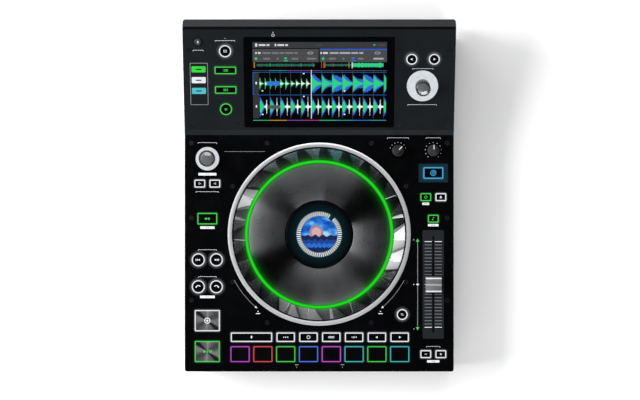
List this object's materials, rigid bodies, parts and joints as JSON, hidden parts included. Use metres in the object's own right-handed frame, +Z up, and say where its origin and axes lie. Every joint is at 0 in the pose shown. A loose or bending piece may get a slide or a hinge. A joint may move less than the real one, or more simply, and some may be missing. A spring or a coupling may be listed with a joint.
{
  "type": "tabletop media player for a disc jockey",
  "caption": "Tabletop deck player with a turning touch wheel with a bladed rim, a round centre display, a tilted touch screen console, lit buttons, pads and a pitch fader.",
  "frame": {"origin": "centre of the footprint on the surface that the feet stand on", "axes": "+X to the user's right, +Y to the rear with the console, +Z up through the deck"},
  "size_m": [0.32, 0.416, 0.1056],
  "materials": {
    "case_black": "fine matt powder coat",
    "chassis": "matt",
    "console_grey": "satin paint",
    "screen_glass": "black cover glass with a lit display",
    "rubber": "matt",
    "screw": "black",
    "board": "solder resist",
    "socket": "moulded",
    "centre_glass": "dark glass with a lit display",
    "light_guide": "lit translucent",
    "fader_plate": "matt",
    "trim_metal": "spun satin",
    "wheel_metal": "dark bright anodised facets",
    "wheel_top": "grooved black plate with a green lit ring",
    "shaft_metal": "turned",
    "knob_grey": "soft satin",
    "knob_black": "satin",
    "fader_metal": "silver lacquer with grip bands",
    "button_black": "black cap with a lit frame",
    "button_metal": "radially brushed face with a lit frame"
  },
  "bodies": {
    "case": {"bottom_chassis": "chassis", "deck_panel": "case_black", "display_console": "console_grey", "touch_screen": "screen_glass", "feet": "rubber", "panel_screws": "screw", "circuit_boards": "board", "socket_board": "socket", "wheel_post": "centre_glass", "light_guides": "light_guide", "fader_track": "fader_plate", "wheel_trim_ring": "trim_metal"},
    "wheel": {"wheel": "wheel_metal", "wheel_top": "wheel_top"},
    "select_shaft": {"select_shaft": "shaft_metal"},
    "select_knob": {"select_knob": "knob_grey"},
    "loop_shaft": {"loop_shaft": "shaft_metal"},
    "loop_knob": {"loop_knob": "knob_grey"},
    "tension_knob": {"tension_knob": "knob_black"},
    "stop_time_knob": {"stop_time_knob": "knob_black"},
    "fader_cap": {"fader_cap": "fader_metal"},
    "power_rocker": {"power_rocker": "knob_black"},
    "loop_in_button": {"loop_in_button": "button_black"},
    "loop_out_button": {"loop_out_button": "button_black"},
    "reverse_button": {"reverse_button": "button_black"},
    "skip_back_button": {"skip_back_button": "button_black"},
    "skip_forward_button": {"skip_forward_button": "button_black"},
    "jump_back_button": {"jump_back_button": "button_black"},
    "jump_forward_button": {"jump_forward_button": "button_black"},
    "cue_button": {"cue_button": "button_metal"},
    "play_button": {"play_button": "button_metal"},
    "shift_button": {"shift_button": "button_black"},
    "slip_button": {"slip_button": "button_black"},
    "vinyl_button": {"vinyl_button": "button_black"},
    "sync_button": {"sync_button": "button_black"},
    "master_button": {"master_button": "button_black"},
    "key_lock_button": {"key_lock_button": "button_black"},
    "bend_minus_button": {"bend_minus_button": "button_black"},
    "bend_plus_button": {"bend_plus_button": "button_black"},
    "mode_button_1": {"mode_button_1": "button_black"},
    "mode_button_2": {"mode_button_2": "button_black"},
    "mode_button_3": {"mode_button_3": "button_black"},
    "mode_button_4": {"mode_button_4": "button_black"},
    "page_left_button": {"page_left_button": "button_black"},
    "page_right_button": {"page_right_button": "button_black"},
    "pad_1": {"pad_1": "button_black"},
    "pad_2": {"pad_2": "button_black"},
    "pad_3": {"pad_3": "button_black"},
    "pad_4": {"pad_4": "button_black"},
    "pad_5": {"pad_5": "button_black"},
    "pad_6": {"pad_6": "button_black"},
    "pad_7": {"pad_7": "button_black"},
    "pad_8": {"pad_8": "button_black"},
    "eject_button": {"eject_button": "button_black"},
    "view_button": {"view_button": "button_black"},
    "source_button": {"source_button": "button_black"},
    "shortcut_button": {"shortcut_button": "button_black"},
    "layer_button": {"layer_button": "button_black"},
    "back_button": {"back_button": "button_black"},
    "forward_button": {"forward_button": "button_black"}
  },
  "joints": [
    {"name": "wheel_turn", "type": "hinge", "parent": "case", "child": "wheel", "pos_m": [0, -0.0445, 0.06], "axis": [0, 0, 1], "continuous": true},
    {"name": "select_push", "type": "slide", "parent": "case", "child": "select_shaft", "axis": [0, 0.284, -0.9588], "range_m": [0, 0.0008], "stiffness_N_per_m": 600, "springref_m": -0.001},
    {"name": "select_turn", "type": "hinge", "parent": "select_shaft", "child": "select_knob", "pos_m": [0.12177, 0.13048, 0.08566], "axis": [0, -0.284, 0.9588], "continuous": true},
    {"name": "loop_push", "type": "slide", "parent": "case", "child": "loop_shaft", "axis": [0, 0, -1], "range_m": [0, 0.0008], "stiffness_N_per_m": 600, "springref_m": -0.001},
    {"name": "loop_turn", "type": "hinge", "parent": "loop_shaft", "child": "loop_knob", "pos_m": [-0.133, 0.0452, 0.07], "axis": [0, 0, 1], "continuous": true},
    {"name": "tension_turn", "type": "hinge", "parent": "case", "child": "tension_knob", "pos_m": [0.0936, 0.0549, 0.07], "axis": [0, 0, 1], "range_deg": [-25, 115]},
    {"name": "stop_time_turn", "type": "hinge", "parent": "case", "child": "stop_time_knob", "pos_m": [0.1356, 0.0549, 0.07], "axis": [0, 0, 1], "range_deg": [-140, 140]},
    {"name": "pitch_slide", "type": "slide", "parent": "case", "child": "fader_cap", "axis": [0, 1, 0], "range_m": [-0.05, 0.05]},
    {"name": "power_tip", "type": "hinge", "parent": "case", "child": "power_rocker", "pos_m": [-0.078, 0.195, 0.03], "axis": [1, 0, 0], "range_deg": [-16, 0]},
    {"name": "loop_in_press", "type": "slide", "parent": "case", "child": "loop_in_button", "axis": [0, 0, -1], "range_m": [0, 0.001], "stiffness_N_per_m": 400, "springref_m": -0.0015},
    {"name": "loop_out_press", "type": "slide", "parent": "case", "child": "loop_out_button", "axis": [0, 0, -1], "range_m": [0, 0.001], "stiffness_N_per_m": 400, "springref_m": -0.0015},
    {"name": "reverse_press", "type": "slide", "parent": "case", "child": "reverse_button", "axis": [0, 0, -1], "range_m": [0, 0.001], "stiffness_N_per_m": 400, "springref_m": -0.0015},
    {"name": "skip_back_press", "type": "slide", "parent": "case", "child": "skip_back_button", "axis": [0, 0, -1], "range_m": [0, 0.001], "stiffness_N_per_m": 400, "springref_m": -0.0015},
    {"name": "skip_forward_press", "type": "slide", "parent": "case", "child": "skip_forward_button", "axis": [0, 0, -1], "range_m": [0, 0.001], "stiffness_N_per_m": 400, "springref_m": -0.0015},
    {"name": "jump_back_press", "type": "slide", "parent": "case", "child": "jump_back_button", "axis": [0, 0, -1], "range_m": [0, 0.001], "stiffness_N_per_m": 400, "springref_m": -0.0015},
    {"name": "jump_forward_press", "type": "slide", "parent": "case", "child": "jump_forward_button", "axis": [0, 0, -1], "range_m": [0, 0.001], "stiffness_N_per_m": 400, "springref_m": -0.0015},
    {"name": "cue_press", "type": "slide", "parent": "case", "child": "cue_button", "axis": [0, 0, -1], "range_m": [0, 0.001], "stiffness_N_per_m": 400, "springref_m": -0.0015},
    {"name": "play_press", "type": "slide", "parent": "case", "child": "play_button", "axis": [0, 0, -1], "range_m": [0, 0.001], "stiffness_N_per_m": 400, "springref_m": -0.0015},
    {"name": "shift_press", "type": "slide", "parent": "case", "child": "shift_button", "axis": [0, 0, -1], "range_m": [0, 0.001], "stiffness_N_per_m": 400, "springref_m": -0.0015},
    {"name": "slip_press", "type": "slide", "parent": "case", "child": "slip_button", "axis": [0, 0, -1], "range_m": [0, 0.001], "stiffness_N_per_m": 400, "springref_m": -0.0015},
    {"name": "vinyl_press", "type": "slide", "parent": "case", "child": "vinyl_button", "axis": [0, 0, -1], "range_m": [0, 0.001], "stiffness_N_per_m": 400, "springref_m": -0.0015},
    {"name": "sync_press", "type": "slide", "parent": "case", "child": "sync_button", "axis": [0, 0, -1], "range_m": [0, 0.001], "stiffness_N_per_m": 400, "springref_m": -0.0015},
    {"name": "master_press", "type": "slide", "parent": "case", "child": "master_button", "axis": [0, 0, -1], "range_m": [0, 0.001], "stiffness_N_per_m": 400, "springref_m": -0.0015},
    {"name": "key_lock_press", "type": "slide", "parent": "case", "child": "key_lock_button", "axis": [0, 0, -1], "range_m": [0, 0.001], "stiffness_N_per_m": 400, "springref_m": -0.0015},
    {"name": "bend_minus_press", "type": "slide", "parent": "case", "child": "bend_minus_button", "axis": [0, 0, -1], "range_m": [0, 0.001], "stiffness_N_per_m": 400, "springref_m": -0.0015},
    {"name": "bend_plus_press", "type": "slide", "parent": "case", "child": "bend_plus_button", "axis": [0, 0, -1], "range_m": [0, 0.001], "stiffness_N_per_m": 400, "springref_m": -0.0015},
    {"name": "mode_1_press", "type": "slide", "parent": "case", "child": "mode_button_1", "axis": [0, 0, -1], "range_m": [0, 0.001], "stiffness_N_per_m": 400, "springref_m": -0.0015},
    {"name": "mode_2_press", "type": "slide", "parent": "case", "child": "mode_button_2", "axis": [0, 0, -1], "range_m": [0, 0.001], "stiffness_N_per_m": 400, "springref_m": -0.0015},
    {"name": "mode_3_press", "type": "slide", "parent": "case", "child": "mode_button_3", "axis": [0, 0, -1], "range_m": [0, 0.001], "stiffness_N_per_m": 400, "springref_m": -0.0015},
    {"name": "mode_4_press", "type": "slide", "parent": "case", "child": "mode_button_4", "axis": [0, 0, -1], "range_m": [0, 0.001], "stiffness_N_per_m": 400, "springref_m": -0.0015},
    {"name": "page_left_press", "type": "slide", "parent": "case", "child": "page_left_button", "axis": [0, 0, -1], "range_m": [0, 0.001], "stiffness_N_per_m": 400, "springref_m": -0.0015},
    {"name": "page_right_press", "type": "slide", "parent": "case", "child": "page_right_button", "axis": [0, 0, -1], "range_m": [0, 0.001], "stiffness_N_per_m": 400, "springref_m": -0.0015},
    {"name": "pad_1_press", "type": "slide", "parent": "case", "child": "pad_1", "axis": [0, 0, -1], "range_m": [0, 0.001], "stiffness_N_per_m": 400, "springref_m": -0.0015},
    {"name": "pad_2_press", "type": "slide", "parent": "case", "child": "pad_2", "axis": [0, 0, -1], "range_m": [0, 0.001], "stiffness_N_per_m": 400, "springref_m": -0.0015},
    {"name": "pad_3_press", "type": "slide", "parent": "case", "child": "pad_3", "axis": [0, 0, -1], "range_m": [0, 0.001], "stiffness_N_per_m": 400, "springref_m": -0.0015},
    {"name": "pad_4_press", "type": "slide", "parent": "case", "child": "pad_4", "axis": [0, 0, -1], "range_m": [0, 0.001], "stiffness_N_per_m": 400, "springref_m": -0.0015},
    {"name": "pad_5_press", "type": "slide", "parent": "case", "child": "pad_5", "axis": [0, 0, -1], "range_m": [0, 0.001], "stiffness_N_per_m": 400, "springref_m": -0.0015},
    {"name": "pad_6_press", "type": "slide", "parent": "case", "child": "pad_6", "axis": [0, 0, -1], "range_m": [0, 0.001], "stiffness_N_per_m": 400, "springref_m": -0.0015},
    {"name": "pad_7_press", "type": "slide", "parent": "case", "child": "pad_7", "axis": [0, 0, -1], "range_m": [0, 0.001], "stiffness_N_per_m": 400, "springref_m": -0.0015},
    {"name": "pad_8_press", "type": "slide", "parent": "case", "child": "pad_8", "axis": [0, 0, -1], "range_m": [0, 0.001], "stiffness_N_per_m": 400, "springref_m": -0.0015},
    {"name": "eject_press", "type": "slide", "parent": "case", "child": "eject_button", "axis": [0, 0.284, -0.9588], "range_m": [0, 0.001], "stiffness_N_per_m": 400, "springref_m": -0.0015},
    {"name": "view_press", "type": "slide", "parent": "case", "child": "view_button", "axis": [0, 0.284, -0.9588], "range_m": [0, 0.001], "stiffness_N_per_m": 400, "springref_m": -0.0015},
    {"name": "source_press", "type": "slide", "parent": "case", "child": "source_button", "axis": [0, 0.284, -0.9588], "range_m": [0, 0.001], "stiffness_N_per_m": 400, "springref_m": -0.0015},
    {"name": "shortcut_press", "type": "slide", "parent": "case", "child": "shortcut_button", "axis": [0, 0.284, -0.9588], "range_m": [0, 0.001], "stiffness_N_per_m": 400, "springref_m": -0.0015},
    {"name": "layer_press", "type": "slide", "parent": "case", "child": "layer_button", "axis": [0, 0.284, -0.9588], "range_m": [0, 0.001], "stiffness_N_per_m": 400, "springref_m": -0.0015},
    {"name": "back_press", "type": "slide", "parent": "case", "child": "back_button", "axis": [0, 0.284, -0.9588], "range_m": [0, 0.001], "stiffness_N_per_m": 400, "springref_m": -0.0015},
    {"name": "forward_press", "type": "slide", "parent": "case", "child": "forward_button", "axis": [0, 0.284, -0.9588], "range_m": [0, 0.001], "stiffness_N_per_m": 400, "springref_m": -0.0015}
  ]
}
